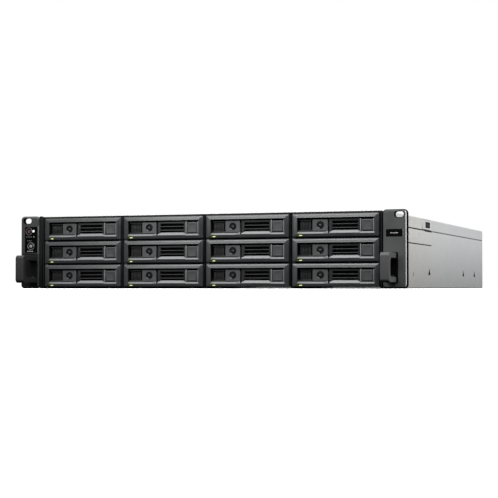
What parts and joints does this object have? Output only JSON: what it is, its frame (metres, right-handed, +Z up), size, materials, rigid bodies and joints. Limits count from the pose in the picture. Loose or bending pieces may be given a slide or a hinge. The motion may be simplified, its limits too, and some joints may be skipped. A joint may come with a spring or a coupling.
{
  "type": "rack network attached storage",
  "caption": "Rack-mount storage unit: plated steel chassis, rack ears with pull handles, hot-swap drive trays with swing levers, fan wall, main board and plug-in power supplies.",
  "frame": {"origin": "centre of the bounding box's bottom face, on the plane that the chassis rests on", "axes": "+Z up, +Y from the drive trays at the front to the power supplies at the rear, +X to the right seen from the front"},
  "size_m": [0.482, 0.6636, 0.088],
  "materials": {
    "zinc_steel": "zinc-plated sheet steel, satin",
    "black_paint": "satin black powder coat",
    "cage_steel": "plated sheet steel in shadow",
    "bezel_plastic": "dark grey, fine satin texture",
    "lever_plastic": "dark grey, satin",
    "button_plastic": "mid grey, fine texture",
    "ear_plastic": "dark grey, satin",
    "gloss_black": "glossy black",
    "circuit_board": "green solder mask",
    "fan_plastic": "black moulded plastic",
    "heatsink_aluminium": "extruded, satin",
    "supply_case": "plated sheet, satin",
    "latch_plastic": "dark red, satin"
  },
  "bodies": {
    "chassis": {"chassis_tub": "zinc_steel", "top_cover_front": "zinc_steel", "front_frame": "black_paint", "drive_cage": "cage_steel", "backplane_board": "circuit_board", "left_ear": "ear_plastic", "right_ear": "ear_plastic", "left_handle": "ear_plastic", "right_handle": "ear_plastic", "fan_bracket": "fan_plastic", "motherboard": "circuit_board", "cpu_heatsink": "heatsink_aluminium", "memory_module": "circuit_board", "rear_panel": "zinc_steel"},
    "rear_cover": {"top_cover_rear": "zinc_steel"},
    "power_button": {"power_button": "gloss_black"},
    "mute_button": {"mute_button": "gloss_black"},
    "fan_rotor_1": {"fan_rotor_1": "fan_plastic"},
    "fan_rotor_2": {"fan_rotor_2": "fan_plastic"},
    "fan_rotor_3": {"fan_rotor_3": "fan_plastic"},
    "psu_1": {"psu_module_1": "supply_case"},
    "psu_latch_1": {"psu_latch_1": "latch_plastic"},
    "psu_2": {"psu_module_2": "supply_case"},
    "psu_latch_2": {"psu_latch_2": "latch_plastic"},
    "tray_1_1": {"drive_tray_1_1": "bezel_plastic"},
    "lever_1_1": {"tray_lever_1_1": "lever_plastic"},
    "button_1_1": {"tray_button_1_1": "button_plastic"},
    "tray_1_2": {"drive_tray_1_2": "bezel_plastic"},
    "lever_1_2": {"tray_lever_1_2": "lever_plastic"},
    "button_1_2": {"tray_button_1_2": "button_plastic"},
    "tray_1_3": {"drive_tray_1_3": "bezel_plastic"},
    "lever_1_3": {"tray_lever_1_3": "lever_plastic"},
    "button_1_3": {"tray_button_1_3": "button_plastic"},
    "tray_2_1": {"drive_tray_2_1": "bezel_plastic"},
    "lever_2_1": {"tray_lever_2_1": "lever_plastic"},
    "button_2_1": {"tray_button_2_1": "button_plastic"},
    "tray_2_2": {"drive_tray_2_2": "bezel_plastic"},
    "lever_2_2": {"tray_lever_2_2": "lever_plastic"},
    "button_2_2": {"tray_button_2_2": "button_plastic"},
    "tray_2_3": {"drive_tray_2_3": "bezel_plastic"},
    "lever_2_3": {"tray_lever_2_3": "lever_plastic"},
    "button_2_3": {"tray_button_2_3": "button_plastic"},
    "tray_3_1": {"drive_tray_3_1": "bezel_plastic"},
    "lever_3_1": {"tray_lever_3_1": "lever_plastic"},
    "button_3_1": {"tray_button_3_1": "button_plastic"},
    "tray_3_2": {"drive_tray_3_2": "bezel_plastic"},
    "lever_3_2": {"tray_lever_3_2": "lever_plastic"},
    "button_3_2": {"tray_button_3_2": "button_plastic"},
    "tray_3_3": {"drive_tray_3_3": "bezel_plastic"},
    "lever_3_3": {"tray_lever_3_3": "lever_plastic"},
    "button_3_3": {"tray_button_3_3": "button_plastic"},
    "tray_4_1": {"drive_tray_4_1": "bezel_plastic"},
    "lever_4_1": {"tray_lever_4_1": "lever_plastic"},
    "button_4_1": {"tray_button_4_1": "button_plastic"},
    "tray_4_2": {"drive_tray_4_2": "bezel_plastic"},
    "lever_4_2": {"tray_lever_4_2": "lever_plastic"},
    "button_4_2": {"tray_button_4_2": "button_plastic"},
    "tray_4_3": {"drive_tray_4_3": "bezel_plastic"},
    "lever_4_3": {"tray_lever_4_3": "lever_plastic"},
    "button_4_3": {"tray_button_4_3": "button_plastic"}
  },
  "joints": [
    {"name": "rear_cover_slide", "type": "slide", "parent": "chassis", "child": "rear_cover", "axis": [0, 1, 0], "range_m": [0, 0.012]},
    {"name": "power_button_press", "type": "slide", "parent": "chassis", "child": "power_button", "axis": [0, 1, 0], "range_m": [0, 0.0008], "stiffness_N_per_m": 400},
    {"name": "mute_button_press", "type": "slide", "parent": "chassis", "child": "mute_button", "axis": [0, 1, 0], "range_m": [0, 0.0008], "stiffness_N_per_m": 400},
    {"name": "fan_1_spin", "type": "hinge", "parent": "chassis", "child": "fan_rotor_1", "pos_m": [-0.138, -0.04425, 0.043], "axis": [0, 1, 0], "continuous": true},
    {"name": "fan_2_spin", "type": "hinge", "parent": "chassis", "child": "fan_rotor_2", "pos_m": [0, -0.04425, 0.043], "axis": [0, 1, 0], "continuous": true},
    {"name": "fan_3_spin", "type": "hinge", "parent": "chassis", "child": "fan_rotor_3", "pos_m": [0.138, -0.04425, 0.043], "axis": [0, 1, 0], "continuous": true},
    {"name": "psu_1_slide", "type": "slide", "parent": "chassis", "child": "psu_1", "axis": [0, 1, 0], "range_m": [0, 0.19]},
    {"name": "psu_latch_1_press", "type": "slide", "parent": "psu_1", "child": "psu_latch_1", "axis": [-1, 0, 0], "range_m": [0, 0.002], "stiffness_N_per_m": 500},
    {"name": "psu_2_slide", "type": "slide", "parent": "chassis", "child": "psu_2", "axis": [0, 1, 0], "range_m": [0, 0.19]},
    {"name": "psu_latch_2_press", "type": "slide", "parent": "psu_2", "child": "psu_latch_2", "axis": [-1, 0, 0], "range_m": [0, 0.002], "stiffness_N_per_m": 500},
    {"name": "tray_1_1_slide", "type": "slide", "parent": "chassis", "child": "tray_1_1", "axis": [0, -1, 0], "range_m": [0, 0.175]},
    {"name": "lever_1_1_swing", "type": "hinge", "parent": "tray_1_1", "child": "lever_1_1", "pos_m": [-0.1618, -0.29605, 0.0714], "axis": [0, 0, -1], "range_deg": [0, 60]},
    {"name": "button_1_1_press", "type": "slide", "parent": "tray_1_1", "child": "button_1_1", "axis": [0, 1, 0], "range_m": [0, 0.0016], "stiffness_N_per_m": 400},
    {"name": "tray_1_2_slide", "type": "slide", "parent": "chassis", "child": "tray_1_2", "axis": [0, -1, 0], "range_m": [0, 0.175]},
    {"name": "lever_1_2_swing", "type": "hinge", "parent": "tray_1_2", "child": "lever_1_2", "pos_m": [-0.1618, -0.29605, 0.0433], "axis": [0, 0, -1], "range_deg": [0, 60]},
    {"name": "button_1_2_press", "type": "slide", "parent": "tray_1_2", "child": "button_1_2", "axis": [0, 1, 0], "range_m": [0, 0.0016], "stiffness_N_per_m": 400},
    {"name": "tray_1_3_slide", "type": "slide", "parent": "chassis", "child": "tray_1_3", "axis": [0, -1, 0], "range_m": [0, 0.175]},
    {"name": "lever_1_3_swing", "type": "hinge", "parent": "tray_1_3", "child": "lever_1_3", "pos_m": [-0.1618, -0.29605, 0.0152], "axis": [0, 0, -1], "range_deg": [0, 60]},
    {"name": "button_1_3_press", "type": "slide", "parent": "tray_1_3", "child": "button_1_3", "axis": [0, 1, 0], "range_m": [0, 0.0016], "stiffness_N_per_m": 400},
    {"name": "tray_2_1_slide", "type": "slide", "parent": "chassis", "child": "tray_2_1", "axis": [0, -1, 0], "range_m": [0, 0.175]},
    {"name": "lever_2_1_swing", "type": "hinge", "parent": "tray_2_1", "child": "lever_2_1", "pos_m": [-0.0568, -0.29605, 0.0714], "axis": [0, 0, -1], "range_deg": [0, 60]},
    {"name": "button_2_1_press", "type": "slide", "parent": "tray_2_1", "child": "button_2_1", "axis": [0, 1, 0], "range_m": [0, 0.0016], "stiffness_N_per_m": 400},
    {"name": "tray_2_2_slide", "type": "slide", "parent": "chassis", "child": "tray_2_2", "axis": [0, -1, 0], "range_m": [0, 0.175]},
    {"name": "lever_2_2_swing", "type": "hinge", "parent": "tray_2_2", "child": "lever_2_2", "pos_m": [-0.0568, -0.29605, 0.0433], "axis": [0, 0, -1], "range_deg": [0, 60]},
    {"name": "button_2_2_press", "type": "slide", "parent": "tray_2_2", "child": "button_2_2", "axis": [0, 1, 0], "range_m": [0, 0.0016], "stiffness_N_per_m": 400},
    {"name": "tray_2_3_slide", "type": "slide", "parent": "chassis", "child": "tray_2_3", "axis": [0, -1, 0], "range_m": [0, 0.175]},
    {"name": "lever_2_3_swing", "type": "hinge", "parent": "tray_2_3", "child": "lever_2_3", "pos_m": [-0.0568, -0.29605, 0.0152], "axis": [0, 0, -1], "range_deg": [0, 60]},
    {"name": "button_2_3_press", "type": "slide", "parent": "tray_2_3", "child": "button_2_3", "axis": [0, 1, 0], "range_m": [0, 0.0016], "stiffness_N_per_m": 400},
    {"name": "tray_3_1_slide", "type": "slide", "parent": "chassis", "child": "tray_3_1", "axis": [0, -1, 0], "range_m": [0, 0.175]},
    {"name": "lever_3_1_swing", "type": "hinge", "parent": "tray_3_1", "child": "lever_3_1", "pos_m": [0.0482, -0.29605, 0.0714], "axis": [0, 0, -1], "range_deg": [0, 60]},
    {"name": "button_3_1_press", "type": "slide", "parent": "tray_3_1", "child": "button_3_1", "axis": [0, 1, 0], "range_m": [0, 0.0016], "stiffness_N_per_m": 400},
    {"name": "tray_3_2_slide", "type": "slide", "parent": "chassis", "child": "tray_3_2", "axis": [0, -1, 0], "range_m": [0, 0.175]},
    {"name": "lever_3_2_swing", "type": "hinge", "parent": "tray_3_2", "child": "lever_3_2", "pos_m": [0.0482, -0.29605, 0.0433], "axis": [0, 0, -1], "range_deg": [0, 60]},
    {"name": "button_3_2_press", "type": "slide", "parent": "tray_3_2", "child": "button_3_2", "axis": [0, 1, 0], "range_m": [0, 0.0016], "stiffness_N_per_m": 400},
    {"name": "tray_3_3_slide", "type": "slide", "parent": "chassis", "child": "tray_3_3", "axis": [0, -1, 0], "range_m": [0, 0.175]},
    {"name": "lever_3_3_swing", "type": "hinge", "parent": "tray_3_3", "child": "lever_3_3", "pos_m": [0.0482, -0.29605, 0.0152], "axis": [0, 0, -1], "range_deg": [0, 60]},
    {"name": "button_3_3_press", "type": "slide", "parent": "tray_3_3", "child": "button_3_3", "axis": [0, 1, 0], "range_m": [0, 0.0016], "stiffness_N_per_m": 400},
    {"name": "tray_4_1_slide", "type": "slide", "parent": "chassis", "child": "tray_4_1", "axis": [0, -1, 0], "range_m": [0, 0.175]},
    {"name": "lever_4_1_swing", "type": "hinge", "parent": "tray_4_1", "child": "lever_4_1", "pos_m": [0.1532, -0.29605, 0.0714], "axis": [0, 0, -1], "range_deg": [0, 60]},
    {"name": "button_4_1_press", "type": "slide", "parent": "tray_4_1", "child": "button_4_1", "axis": [0, 1, 0], "range_m": [0, 0.0016], "stiffness_N_per_m": 400},
    {"name": "tray_4_2_slide", "type": "slide", "parent": "chassis", "child": "tray_4_2", "axis": [0, -1, 0], "range_m": [0, 0.175]},
    {"name": "lever_4_2_swing", "type": "hinge", "parent": "tray_4_2", "child": "lever_4_2", "pos_m": [0.1532, -0.29605, 0.0433], "axis": [0, 0, -1], "range_deg": [0, 60]},
    {"name": "button_4_2_press", "type": "slide", "parent": "tray_4_2", "child": "button_4_2", "axis": [0, 1, 0], "range_m": [0, 0.0016], "stiffness_N_per_m": 400},
    {"name": "tray_4_3_slide", "type": "slide", "parent": "chassis", "child": "tray_4_3", "axis": [0, -1, 0], "range_m": [0, 0.175]},
    {"name": "lever_4_3_swing", "type": "hinge", "parent": "tray_4_3", "child": "lever_4_3", "pos_m": [0.1532, -0.29605, 0.0152], "axis": [0, 0, -1], "range_deg": [0, 60]},
    {"name": "button_4_3_press", "type": "slide", "parent": "tray_4_3", "child": "button_4_3", "axis": [0, 1, 0], "range_m": [0, 0.0016], "stiffness_N_per_m": 400}
  ]
}
